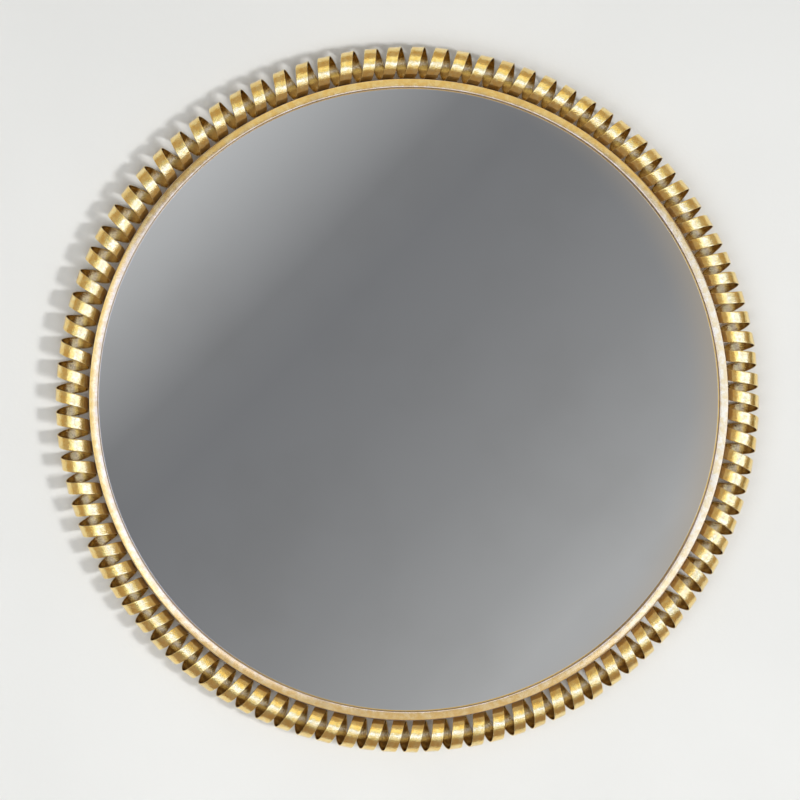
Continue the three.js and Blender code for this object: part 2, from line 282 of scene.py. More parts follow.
@dataclass(frozen=True)
class GoldLeaf(Finish):
    """Metal leaf over red ground, rubbed and varnished."""

    leaf: Colour = (0.95, 0.655, 0.205)
    pale: Colour = (1.0, 0.80, 0.36)
    ground: Colour = (0.22, 0.105, 0.035)
    tarnish: Colour = (0.62, 0.58, 0.56)
    # Painted shade: the dark brown laid over the faces that the mesh marks inside.
    hollow_shade: Colour = (0.45, 0.285, 0.090)
    shine: float = 0.115
    patch_mm: float = 4.2
    fleck_mm: float = 1.2
    relief_mm: float = 0.48

    def paint(self, shading: Shading) -> None:
        """Mottled leaf, rubbed pale at edges, and darker and duller where the mesh is marked inside:
        painted shade in the hollows of the turns and along the lip's inner edge.
        """
        place = shading.own_place()
        patches = shading.noise(place, self.patch_mm, 4.0, 0.55)
        flecks = shading.noise(place, self.fleck_mm, 3.0, 0.65)
        cloud = shading.noise(place, self.patch_mm * 4, 2.0)
        worn = shading.attribute("edge_wear")
        inside = shading.attribute("inside")
        colour = shading.over(patches.between(0.35, 0.68), self.leaf, self.pale)
        colour = shading.over(flecks.between(0.62, 0.76) * 0.55, colour, self.ground)
        colour = shading.over(worn * flecks.between(0.35, 0.6) * 0.7, colour, self.pale)
        colour = shading.over(cloud.between(0.52, 0.72) * 0.35, colour, self.tarnish, Blend.MULTIPLY)
        # Painted shade: faces marked inside turn dark brown, as if shaded in the hollows of the turns
        # and at the lip's inner edge.
        colour = shading.over(inside * (0.60 + patches * 0.5), colour, self.hollow_shade)
        uneven = (patches - 0.5) * 0.12 + (flecks - 0.5) * 0.16 + inside * 0.03
        relief = flecks * 0.45 + patches * 0.55
        shading.finish_surface(
            Base_Color=colour,
            Metallic=1.0,
            Roughness=uneven + self.shine,
            Coat_Weight=0.5 - inside * 0.35,
            Coat_Roughness=0.09,
            Normal=shading.bump(relief, self.relief_mm, 0.8),
        )


@dataclass(frozen=True)
class ClayGround(Finish):
    """The red-brown ground under the leaf, bare on the side of the hoop that the turns hide."""

    clay: Colour = (0.38, 0.275, 0.215)
    rubbed: Colour = (0.48, 0.36, 0.29)
    dust: Colour = (0.46, 0.43, 0.42)

    def paint(self, shading: Shading) -> None:
        """Brushed on, rubbed in places and dusty."""
        place = shading.own_place()
        strokes = shading.noise(shading.stretched(place, (1.0, 3.0, 1.0)), 3.0, 4.0, 0.6)
        dust = shading.noise(place, 9.0, 3.0)
        colour = shading.over(strokes.between(0.4, 0.7), self.clay, self.rubbed)
        colour = shading.over(dust.between(0.5, 0.8) * 0.4, colour, self.dust)
        shading.finish_surface(
            Base_Color=colour,
            Roughness=strokes * 0.2 + 0.46,
            Normal=shading.bump(strokes, 0.08, 0.6),
        )


@dataclass(frozen=True)
class MirrorSilver(Finish):
    """Silvered glass seen from the front."""

    silver: Colour = (0.87, 0.875, 0.88)
    haze: Colour = (0.80, 0.80, 0.795)

    def paint(self, shading: Shading) -> None:
        """Clean silver with a breath of haze and a few dust specks."""
        place = shading.own_place()
        cloud = shading.noise(place, 90.0, 3.0)
        dust = shading.noise(place, 2.2, 2.0, 0.7).between(0.72, 0.82)
        colour = shading.over(cloud.between(0.4, 0.75) * 0.5, self.silver, self.haze)
        shading.finish_surface(
            Base_Color=colour,
            Metallic=1.0,
            Roughness=dust * 0.03 + cloud * 0.012 + 0.008,
        )


@dataclass(frozen=True)
class BackingPaint(Finish):
    """The grey paint over the silver, on the back of the glass."""

    paint_colour: Colour = (0.23, 0.24, 0.25)
    thin: Colour = (0.33, 0.27, 0.21)

    def paint(self, shading: Shading) -> None:
        """Brushed on, thin in places."""
        place = shading.own_place()
        strokes = shading.noise(shading.stretched(place, (1.0, 1.0, 0.1)), 4.0, 4.0)
        colour = shading.over(strokes.between(0.5, 0.75), self.paint_colour, self.thin)
        shading.finish_surface(
            Base_Color=colour,
            Roughness=strokes * 0.2 + 0.42,
            Normal=shading.bump(strokes, 0.08, 0.6),
        )


@dataclass(frozen=True)
class Felt(Finish):
    """Pressed grey felt."""

    dark: Colour = (0.028, 0.028, 0.031)
    fibre: Colour = (0.075, 0.073, 0.072)

    def paint(self, shading: Shading) -> None:
        """Short tangled fibres."""
        place = shading.own_place()
        fibres = shading.noise(place, 0.9, 6.0, 0.75)
        clumps = shading.noise(place, 6.0, 3.0)
        colour = shading.over(fibres.between(0.42, 0.7), self.dark, self.fibre)
        shading.finish_surface(
            Base_Color=colour,
            Roughness=clumps * 0.1 + 0.88,
            Normal=shading.bump(fibres * 0.7 + clumps * 0.3, 0.5, 0.8),
        )


@dataclass(frozen=True)
class Hardboard(Finish):
    """Brown pressed fibre board, smooth side out."""

    board: Colour = (0.155, 0.083, 0.040)
    fibre: Colour = (0.235, 0.140, 0.072)
    fleck: Colour = (0.060, 0.030, 0.015)

    def paint(self, shading: Shading) -> None:
        """Fine tangled fibres with dark flecks and a faint press sheen."""
        place = shading.own_place()
        fibres = shading.noise(shading.stretched(place, (1.0, 1.0, 0.35)), 1.6, 6.0, 0.7)
        cross = shading.noise(shading.stretched(place, (0.35, 1.0, 1.0)), 1.9, 6.0, 0.7)
        flecks = shading.noise(place, 3.2, 2.0, 0.8).between(0.66, 0.78)
        cloud = shading.noise(place, 70.0, 3.0)
        colour = shading.over((fibres * 0.5 + cross * 0.5).between(0.38, 0.64), self.board, self.fibre)
        colour = shading.over(cloud.between(0.3, 0.8) * 0.35, colour, self.board)
        colour = shading.over(flecks * 0.7, colour, self.fleck)
        shading.finish_surface(
            Base_Color=colour,
            Roughness=cloud * 0.16 + 0.48,
            Normal=shading.bump(fibres * 0.5 + cross * 0.5, 0.06, 0.7),
        )


@dataclass(frozen=True)
class ZincPlate(Finish):
    """Bright zinc plating on pressed steel and wire."""

    bright: Colour = (0.71, 0.725, 0.74)
    dull: Colour = (0.50, 0.515, 0.54)
    warm: Colour = (0.66, 0.62, 0.53)

    def paint(self, shading: Shading) -> None:
        """Faint spangle, drawing marks and a warm passivated tint."""
        place = shading.own_place()
        spangle = shading.noise(place, 1.8, 2.0)
        drawn = shading.noise(shading.stretched(place, (6.0, 1.0, 0.4)), 0.8, 4.0)
        tint = shading.noise(place, 7.0, 2.0)
        colour = shading.over(spangle.between(0.36, 0.66), self.bright, self.dull)
        colour = shading.over(tint.between(0.5, 0.75) * 0.5, colour, self.warm)
        shading.finish_surface(
            Base_Color=colour,
            Metallic=1.0,
            Roughness=spangle * 0.16 + drawn * 0.14 + 0.18,
            Normal=shading.bump(drawn, 0.03, 0.6),
        )


@dataclass(frozen=True)
class BumperRubber(Finish):
    """Matt black moulded rubber."""

    black: Colour = (0.018, 0.018, 0.019)
    bloom: Colour = (0.050, 0.050, 0.051)

    def paint(self, shading: Shading) -> None:
        """A grey bloom over a fine moulded skin."""
        place = shading.own_place()
        bloom = shading.noise(place, 5.0, 4.0, 0.6)
        skin = shading.noise(place, 0.5, 2.0)
        colour = shading.over(bloom.between(0.45, 0.75), self.black, self.bloom)
        shading.finish_surface(
            Base_Color=colour,
            Roughness=bloom * 0.2 + 0.58,
            Normal=shading.bump(skin, 0.04, 0.6),
        )


@dataclass(frozen=True)
class WallPaint(Finish):
    """Rolled off-white wall paint, seen from its front only.

    Within open_radius of the middle, what the back of the mirror reflects passes through it.
    """

    paint_colour: Colour = (0.800, 0.806, 0.795)
    pale: Colour = (0.830, 0.836, 0.825)
    middle: Place = (0.0, RING_DEPTH_MM * MM, -HANG_DROP_MM * MM)
    open_radius: float = 0.255
    edge: float = 0.007

    def paint(self, shading: Shading) -> None:
        """Roller stipple, mixed with a clear surface by the kind of ray and the side it comes from."""
        place = shading.own_place()
        stipple = shading.noise(place, 3.0, 3.0, 0.55)
        cloud = shading.noise(place, 260.0, 2.0)
        colour = shading.over(cloud.between(0.3, 0.7), self.paint_colour, self.pale)
        values = {
            "Base Color": colour,
            "Roughness": 0.78,
            "Normal": shading.bump(stipple, 0.30, 0.28),
        }
        surface = shading.node("ShaderNodeBsdfPrincipled", {}, values)
        clear = shading.node("ShaderNodeBsdfTransparent")
        camera, glossy, through = (shading.node("ShaderNodeLightPath", output=ray.value) for ray in Ray)
        behind = shading.node("ShaderNodeNewGeometry", output="Backfacing")
        settings = {"operation": "DISTANCE"}
        away = shading.node("ShaderNodeVectorMath", settings, {0: place, 1: self.middle}, "Value")
        beside = away.between(self.open_radius, self.open_radius + self.edge)
        seen = (camera + (glossy + through) * beside) * (1 - behind)
        shading.output(shading.node("ShaderNodeMixShader", {}, {0: seen, 1: clear, 2: surface}))


@dataclass(frozen=True)
class FloorPaint(Finish):
    """Plain pale studio floor."""

    pale: Colour = (0.74, 0.735, 0.715)
    worn: Colour = (0.70, 0.695, 0.675)
    glow: float = 0.5

    def paint(self, shading: Shading) -> None:
        """Even and matt, with a faint cloud, and as pale to the eye as the wall."""
        cloud = shading.noise(shading.own_place(), 400.0, 3.0)
        colour = shading.over(cloud.between(0.35, 0.7), self.pale, self.worn)
        seen = shading.node("ShaderNodeLightPath", output=Ray.CAMERA.value)
        shading.finish_surface(
            Base_Color=colour,
            Roughness=0.85,
            Emission_Color=shading.over(seen, (0.0, 0.0, 0.0), colour),
            Emission_Strength=self.glow,
        )


@dataclass(frozen=True)
class FinishSet:
    """Every finish on the mirror."""

    strip: Finish = GoldLeaf("gold_leaf_strip")
    hoop: Finish = GoldLeaf(
        "gold_leaf_hoop",
        leaf=(0.73, 0.465, 0.165),
        pale=(0.80, 0.580, 0.285),
        shine=0.15,
        patch_mm=4.5,
        fleck_mm=0.9,
        relief_mm=0.07,
    )
    clay: Finish = ClayGround("clay_ground")
    silver: Finish = MirrorSilver("mirror_silver")
    backing: Finish = BackingPaint("backing_paint")
    felt: Finish = Felt("grey_felt")
    board: Finish = Hardboard("brown_hardboard")
    zinc: Finish = ZincPlate("bright_zinc")
    rubber: Finish = BumperRubber("black_rubber")


# ------------------------------------------------------------------------------- shapes


def clock_place(clock: float = 0.0, radius_mm: float = 0.0) -> Matrix:
    """Where something stands on the mirror.

    Args:
        clock: Its clock angle, in degrees.
        radius_mm: Its distance from the mirror's axis.

    Returns:
        A frame there on the wall's plane, whose own Z points away from the axis.
    """
    centre = Matrix.Translation(Vector((0.0, RING_DEPTH_MM, -HANG_DROP_MM)) * MM)
    turn = Matrix.Rotation(math.radians(clock), 4, "Y")
    return centre @ turn @ Matrix.Translation(Vector((0.0, 0.0, radius_mm * MM)))


def circle(radius: float, count: int, x: float = 0.0, y: float = 0.0) -> list[Point]:
    """Points round a circle."""
    angles = [2 * math.pi * step / count for step in range(count)]
    return [(x + radius * math.cos(angle), y + radius * math.sin(angle)) for angle in angles]


def arc(x: float, y: float, radius: float, start: float, end: float, steps: int) -> list[Point]:
    """Points along an arc about (x, y), from start to end in degrees, both ends among them."""
    turns = [math.radians(start + (end - start) * step / steps) for step in range(steps + 1)]
    return [(x + radius * math.cos(turn), y + radius * math.sin(turn)) for turn in turns]


class Shape:
    """A mesh in the making. Its points are given in millimetres in a local frame."""

    def __init__(self, name: str, place: Matrix) -> None:
        """Starts an empty shape.

        Args:
            name: The piece's name.
            place: The local frame, in the part's frame in metres.
        """
        self.name = name
        self.place = place
        self.mesh = bmesh.new()
        self.edge_wear = self.mesh.verts.layers.float.new("edge_wear")
        # The inside mark tells the leaf where to lay its painted shade.
        self.inside = self.mesh.verts.layers.float.new("inside")

    def point(self, x: float, depth: float, z: float) -> bmesh.types.BMVert:
        """Adds a point, given by its place across, its depth and its height in millimetres."""
        return self.mesh.verts.new(self.place @ (Vector((x, -depth, z)) * MM))

    def ring_faces(self, rings: Sequence[Sequence[bmesh.types.BMVert]], closed: bool) -> None:
        """Joins rings of points with faces.

        Args:
            rings: The rings; one of a single point is a pole.
            closed: Whether the last ring joins the first.
        """
        spans = len(rings) if closed else len(rings) - 1
        for span in range(spans):
            near = rings[span]
            far = rings[(span + 1) % len(rings)]
            count = max(len(near), len(far))
            for side in range(count):
                after = (side + 1) % count
                corners = [near[side % len(near)], near[after % len(near)], far[after % len(far)]]
                corners.append(far[side % len(far)])
                unique = list(dict.fromkeys(corners))
                if len(unique) > 2:
                    self.mesh.faces.new(unique)

    def revolve(self, profile: Sequence[Point], segments: int, closed: bool = False) -> None:
        """Turns a profile about the local Y axis.

        Args:
            profile: Radius and depth of each point; a radius of 0 is a pole.
            segments: How many steps the turn has.
            closed: Whether the profile's end joins its start.
        """
        rings = []
        for radius, depth in profile:
            if radius == 0:
                rings.append([self.point(0.0, depth, 0.0)])
            else:
                rings.append([self.point(x, depth, z) for x, z in circle(radius, segments)])
        self.ring_faces(rings, closed)

    def flat(
        self, outline: Sequence[Point], holes: Sequence[Sequence[Point]], depth: float
    ) -> list[bmesh.types.BMFace]:
        """Fills a flat outline that may have holes.

        Args:
            outline: Across and up of each point round the outside.
            holes: The same for each hole.
            depth: The depth that it lies at.

        Returns:
            The faces.
        """
        edges = []
        for loop in (outline, *holes):
            points = [self.point(x, depth, z) for x, z in loop]
            for index, start in enumerate(points):
                edges.append(self.mesh.edges.new((start, points[(index + 1) % len(points)])))
        filled = bmesh.ops.triangle_fill(self.mesh, edges=edges, use_beauty=True)
        return [item for item in filled["geom"] if isinstance(item, bmesh.types.BMFace)]

    def plate(
        self, outline: Sequence[Point], holes: Sequence[Sequence[Point]], rear: float, front: float
    ) -> None:
        """Makes a flat plate.

        Args:
            outline: Across and up of each point round the outside.
            holes: The same for each hole.
            rear: Depth of its rear face.
            front: Depth of its front face.
        """
        faces = self.flat(outline, holes, rear)
        grown = bmesh.ops.extrude_face_region(self.mesh, geom=faces)
        points = [item for item in grown["geom"] if isinstance(item, bmesh.types.BMVert)]
        shift = self.place.to_3x3() @ (Vector((0.0, rear - front, 0.0)) * MM)
        bmesh.ops.translate(self.mesh, vec=shift, verts=points)

    def pit(self, outline: Sequence[Point], top: float, floor: float) -> None:
        """Makes the walls and floor of a recess that opens to the rear.

        Args:
            outline: Across and up of each point round it.
            top: Depth of its mouth.
            floor: Depth of its floor.
        """
        mouth = [self.point(x, top, z) for x, z in outline]
        foot = [self.point(x, floor, z) for x, z in outline]
        self.ring_faces([mouth, foot], False)
        self.mesh.faces.new(foot)

    def finished(
        self,
        finishes: Sequence[Finish],
        body: str = Body.MIRROR.value,
        bevel_mm: float = 0.0,
        sharp: float = 35.0,
        choose: Callable[[bmesh.types.BMFace], int] | None = None,
    ) -> bpy.types.Object:
        """Turns the shape into a piece that stands for its CAD node.

        Args:
            finishes: Its finishes.
            body: The body that it moves with.
            bevel_mm: How far its sharp edges are broken.
            sharp: The least angle of a sharp edge, in degrees.
            choose: Picks a finish's place for a face.

        Returns:
            The piece.
        """
        bmesh.ops.remove_doubles(self.mesh, verts=self.mesh.verts, dist=1e-7)
        bmesh.ops.recalc_face_normals(self.mesh, faces=self.mesh.faces)
        for face in self.mesh.faces:
            face.smooth = True
            face.material_index = choose(face) if choose else 0
        mesh = bpy.data.meshes.new(self.name)
        self.mesh.to_mesh(mesh)
        self.mesh.free()
        mesh.set_sharp_from_angle(angle=math.radians(sharp))
        for finish in finishes:
            mesh.materials.append(finish.material())
        piece = bpy.data.objects.new(self.name + "_dressed", mesh)
        bpy.context.scene.collection.objects.link(piece)
        if bevel_mm:
            bevel = piece.modifiers.new("broken_edges", "BEVEL")
            bevel.width = bevel_mm * MM
            bevel.segments = 2
            bevel.limit_method = "ANGLE"
            bevel.angle_limit = math.radians(sharp)
            bevel.harden_normals = True
        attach(piece, body)
        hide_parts(self.name)
        log.info("%s: %d faces", self.name, len(mesh.polygons))
        return piece


@dataclass
class SubAssembly:
    """A group of pieces that are built together, in the mirror's finishes."""

    finishes: FinishSet


# ------------------------------------------------------------------------------- wound frame


@dataclass
class HandWinding:
    """The small unevenness of hand winding, the same each time."""

    turns: int = 98
    seed: int = 11
    draws_per_turn: int = 4
    clock_degrees: float = 0.16
    tube_mm: float = 0.22
    roll_degrees: float = 2.6
    tracks: dict[str, list[float]] = field(default_factory=dict)

    def __post_init__(self) -> None:
        """Draws numbers along the strip, and a turn past its ends, for each kind of unevenness."""
        dice = random.Random(self.seed)
        count = self.draws_per_turn * (self.turns + 2)
        for kind in ("clock", "tube", "roll"):
            self.tracks[kind] = [dice.uniform(-1, 1) for _ in range(count)]

    def at(self, kind: str, turn: float) -> float:
        """A smooth random number.

        Args:
            kind: clock, tube or roll.
            turn: How far along the strip, in turns.

        Returns:
            The number, from -1 to 1.
        """
        track = self.tracks[kind]
        place = self.draws_per_turn * turn + self.draws_per_turn
        index = math.floor(place)
        part = place - index
        part = part * part * (3 - 2 * part)
        return track[index] * (1 - part) + track[index + 1] * part


@dataclass
class WoundFrame(SubAssembly):
    """The flat strip, wound as an open ring-shaped coil in four lengths."""

    ring_radius_mm: float = 286.0
    tube_radius_mm: float = 14.0
    ring_depth_mm: float = COIL_DEPTH_MM
    strip_width_mm: float = 10.0
    strip_thickness_mm: float = 1.0
    corner_mm: float = 0.3
    support_mm: float = 1.2
    turns_per_length: tuple[int, ...] = (25, 25, 25, 23)
    steps_per_turn: int = 48
    first_turn: float = -2.0
    drift: float = 2.97
    drift_at: float = 37.3
    ripple: float = 1.0
    ripple_at: float = 11.0
    winding: HandWinding = field(default_factory=HandWinding)

    def clock(self, turn: float) -> float:
        """Clock angle of the strip after so many turns, in radians."""
        even = 360 * turn / sum(self.turns_per_length)
        drift = self.drift * math.cos(math.radians(even - self.drift_at))
        ripple = self.ripple * math.cos(math.radians(2 * even - self.ripple_at))
        return math.radians(even + self.first_turn + drift + ripple)

    def middle(self, turn: float) -> Vector:
        """The middle of the strip after so many turns, in millimetres about the mirror's axis."""
        round_angle = math.radians(90 + 360 * turn)
        away = (1 + math.sin(round_angle)) / 2
        clock = self.clock(turn)
        clock += math.radians(self.winding.clock_degrees) * self.winding.at("clock", turn) * away
        tube = self.tube_radius_mm - self.strip_thickness_mm / 2
        tube += self.winding.tube_mm * (self.winding.at("tube", turn) - 1) * away
        radius = self.ring_radius_mm + tube * math.sin(round_angle)
        depth = self.ring_depth_mm + tube * math.cos(round_angle)
        return Vector((radius * math.sin(clock), -depth, radius * math.cos(clock)))

    def section(self, turn: float) -> tuple[list[Vector], list[float], list[float]]:
        """One cross-section of the strip.

        Args:
            turn: Where it is, in turns.

        Returns:
            Its points, how worn each is, and whether each lies inside the turn.
        """
        nudge = 1e-3
        along = (self.middle(turn + nudge) - self.middle(turn - nudge)).normalized()
        round_angle = math.radians(90 + 360 * turn)
        clock = self.clock(turn)
        outward = Vector((
            math.sin(round_angle) * math.sin(clock),
            -math.cos(round_angle),
            math.sin(round_angle) * math.cos(clock),
        ))
        outward = (outward - along * outward.dot(along)).normalized()
        away = (1 + math.sin(round_angle)) / 2
        roll = math.radians(self.winding.roll_degrees) * self.winding.at("roll", turn) * away
        outward.rotate(Matrix.Rotation(roll, 3, along))
        across = along.cross(outward)
        half_width = self.strip_width_mm / 2
        half_thickness = self.strip_thickness_mm / 2
        points: list[Vector] = []
        worn: list[float] = []
        inside: list[float] = []
        # Points on the strip's inner face are marked inside, for the painted shade in the hollow of
        # each turn.
        corners = ((1, 1, 0), (-1, 1, 90), (-1, -1, 180), (1, -1, 270))
        for side, face, start in corners:
            x = side * (half_width - self.corner_mm)
            y = face * (half_thickness - self.corner_mm)
            for px, py in arc(x, y, self.corner_mm, start, start + 90, 2):
                points.append(self.middle(turn) + across * px + outward * py)
                worn.append(1.0)
                inside.append(1.0 if py < 0 else 0.0)
            edge = side * (half_width - self.support_mm)
            points.append(self.middle(turn) + across * edge + outward * face * half_thickness)
            worn.append(0.0)
            inside.append(1.0 if face < 0 else 0.0)
        return self.ordered(points, worn, inside)

    def ordered(
        self, points: list[Vector], worn: list[float], inside: list[float]
    ) -> tuple[list[Vector], list[float], list[float]]:
        """Puts the support points of a section between the right corners.

        Args:
            points: Four corners of three points, each with its support point after it.
            worn: How worn each is.
            inside: Whether each lies inside the turn.

        Returns:
            The same, in order round the section.
        """
        order = [0, 1, 2, 3, 7, 4, 5, 6, 8, 9, 10, 11, 15, 12, 13, 14]
        return [points[i] for i in order], [worn[i] for i in order], [inside[i] for i in order]

    def build(self) -> None:
        """Builds the four lengths."""
        start = -0.5
        turn_length = math.hypot(
            2 * math.pi * self.tube_radius_mm,
            2 * math.pi * self.ring_radius_mm / sum(self.turns_per_length),
        )
        trim = TOUCH_GAP_MM / 2 / turn_length
        for index, turns in enumerate(self.turns_per_length):
            shape = Shape(f"ribbon_coil_{index + 1}", clock_place())
            steps = turns * self.steps_per_turn
            rings = []
            for step in range(steps + 1):
                inset = trim if step == 0 else -trim if step == steps else 0.0
                points, worn, inside = self.section(start + step / self.steps_per_turn + inset)
                ring = []
                # The third value is how much painted shade each point gets.
                for point, wear, hollow_shade in zip(points, worn, inside):
                    corner = shape.point(point.x, -point.y, point.z)
                    corner[shape.edge_wear] = wear
                    corner[shape.inside] = hollow_shade
                    ring.append(corner)
                rings.append(ring)
            shape.ring_faces(rings, False)
            shape.mesh.faces.new(rings[0])
            shape.mesh.faces.new(rings[-1])
            shape.finished([self.finishes.strip], sharp=50.0)
            start += turns


# ------------------------------------------------------------------------------- hoop and glass


@dataclass
class GlassAndHoop(SubAssembly):
    """The hoop with a lip inside its front, the domed glass in it, and the felt behind the glass."""

    hoop_outer_mm: float = 271.7
    hoop_wall_mm: float = 2.0
    hoop_rear_mm: float = 2.0
    lip_front_mm: float = 27.0
    lip_width_mm: float = 7.3
    lip_thickness_mm: float = 2.4
    lip_edge_mm: float = 0.45
    under_edge_mm: float = 0.2
    rear_edge_mm: float = 0.3
    support_mm: float = 1.0
    bare_side_mm: float = 0.3
    # Painted shade along the lip's inner edge: how wide the band is, and how strong.
    lip_shade_band_mm: float = 0.3
    lip_edge_shade: float = 0.65
    lip_fall_mm: float = 0.42
    lip_crown_mm: float = 0.10
    glass_thickness_mm: float = 4.0
    arris_mm: float = 0.4
    dome_rise_mm: float = 30.0
    dome_steps: int = 48
    glass_radius_mm: float = 269.1
    felt_radius_mm: float = 268.5
    felt_width_mm: float = 15.0
    felt_edge_mm: float = 4.0
    felt_round_mm: float = 0.7
    felt_slope_mm: float = 0.8
    segments: int = 360

    @property
    def opening_mm(self) -> float:
        """Radius of the lip's opening."""
        return self.hoop_outer_mm - self.lip_width_mm

    @property
    def lip_rear_mm(self) -> float:
        """Depth of the back of the lip."""
        return self.lip_front_mm - self.lip_thickness_mm

    @property
    def dome_radius_mm(self) -> float:
        """Radius of the sphere that the glass's front is part of."""
        return (self.opening_mm**2 + self.dome_rise_mm**2) / (2 * self.dome_rise_mm)

    def dome_depth(self, radius: float, behind: float = 0.0) -> float:
        """Depth of the glass's face.

        Args:
            radius: Distance from the axis.
            behind: How far behind the front face, along the sphere's radius.

        Returns:
            The depth.
        """
        rise = math.sqrt(self.dome_radius_mm**2 - self.opening_mm**2)
        centre = self.lip_rear_mm - TOUCH_GAP_MM - rise
        return centre + math.sqrt((self.dome_radius_mm - behind) ** 2 - radius**2)

    def lip_face(self, steps: int) -> list[Point]:
        """The lip's front from its outer edge to its inner edge, slightly crowned and falling outward.

        Args:
            steps: How many steps it takes.

        Returns:
            Radius and depth of each point.
        """
        edge = self.lip_edge_mm
        outer = self.hoop_outer_mm - edge
        inner = self.opening_mm + edge
        points = []
        for step in range(steps + 1):
            part = step / steps
            radius = outer + (inner - outer) * part
            sink = self.lip_fall_mm * (1 - part) + self.lip_crown_mm * (2 * part - 1) ** 2
            points.append((radius, self.lip_front_mm - sink))
        return points

    def hoop(self) -> None:
        """Builds the hoop."""
        edge = self.lip_edge_mm
        inner_wall = self.hoop_outer_mm - self.hoop_wall_mm
        face = self.lip_face(8)
        outer_depth = face[0][1] - edge
        inner_depth = face[-1][1] - edge
        rear_edge = self.rear_edge_mm
        under_edge = self.under_edge_mm
        profile = [
            (inner_wall + rear_edge, self.hoop_rear_mm),
            (self.hoop_outer_mm - rear_edge, self.hoop_rear_mm),
            (self.hoop_outer_mm, self.hoop_rear_mm + rear_edge),
            (self.hoop_outer_mm, self.hoop_rear_mm + self.support_mm),
            (self.hoop_outer_mm, self.lip_rear_mm),
            *arc(self.hoop_outer_mm - edge, outer_depth, edge, 0, 80, 4),
            *face[1:-1],
            *arc(self.opening_mm + edge, inner_depth, edge, 90, 180, 4),
            (self.opening_mm, self.lip_rear_mm + under_edge),
            (self.opening_mm + under_edge, self.lip_rear_mm),
            (inner_wall, self.lip_rear_mm),
            (inner_wall, self.hoop_rear_mm + rear_edge),
        ]
        shape = Shape("rim_hoop", clock_place())
        shape.revolve(profile, self.segments, closed=True)
        to_local = shape.place.inverted()
        # Painted shade: points at the lip's inner edge are marked inside, so the leaf there darkens as
        # if shaded.
        for corner in shape.mesh.verts:
            local = to_local @ corner.co / MM
            if math.hypot(local.x, local.z) < self.opening_mm + self.lip_shade_band_mm:
                corner[shape.inside] = self.lip_edge_shade

        def hidden(face: bmesh.types.BMFace) -> int:
            """Whether a face lies on the hoop's outer side, behind the turns."""
            local = to_local @ face.calc_center_median() / MM
            return int(math.hypot(local.x, local.z) > self.hoop_outer_mm - self.bare_side_mm)

        gilt_and_clay = [self.finishes.hoop, self.finishes.clay]
        shape.finished(gilt_and_clay, choose=hidden)

    def glass(self) -> bpy.types.Object:
        """Builds the glass, silvered in front and painted behind.

        Returns:
            The glass.
        """
        steps = self.dome_steps
        radii = [self.glass_radius_mm * step / steps for step in range(steps + 1)]
        front = [(radius, self.dome_depth(radius)) for radius in radii]
        rear = [(radius, self.dome_depth(radius, self.glass_thickness_mm)) for radius in radii]
        front[-1] = (radii[-1] - self.arris_mm, self.dome_depth(radii[-1] - self.arris_mm))
        arris = (radii[-1], self.dome_depth(radii[-1]) - self.arris_mm)
        shape = Shape("mirror_glass", clock_place())
        shape.revolve([*front, arris, *reversed(rear)], self.segments)
        return shape.finished(
            [self.finishes.silver, self.finishes.backing],
            choose=lambda face: 0 if face.normal.y < 0.5 else 1,
        )

    def felt(self) -> None:
        """Builds the felt strip behind the glass's edge."""
        behind = self.glass_thickness_mm
        rear = self.dome_depth(self.glass_radius_mm, behind) - TOUCH_GAP_MM - self.felt_edge_mm
        outer = self.felt_radius_mm
        inner = outer - self.felt_width_mm
        front_outer = self.dome_depth(outer, behind) - TOUCH_GAP_MM
        front_inner = self.dome_depth(inner, behind) - TOUCH_GAP_MM
        edge = self.felt_round_mm
        profile = [
            *arc(inner + edge, rear + edge, edge, 180, 270, 3),
            *arc(outer - edge, rear + edge, edge, 270, 360, 3),
            *arc(outer - edge, front_outer - edge, edge, 0, 80, 3),
            *arc(inner + edge, front_inner - self.felt_slope_mm, edge, 85, 180, 3),
        ]
        shape = Shape("glass_packing", clock_place())
        shape.revolve(profile, self.segments, closed=True)
        shape.finished([self.finishes.felt])

    def build(self) -> bpy.types.Object:
        """Builds hoop, glass and felt.

        Returns:
            The glass.
        """
        self.hoop()
        self.felt()
        return self.glass()


# ------------------------------------------------------------------------------- back


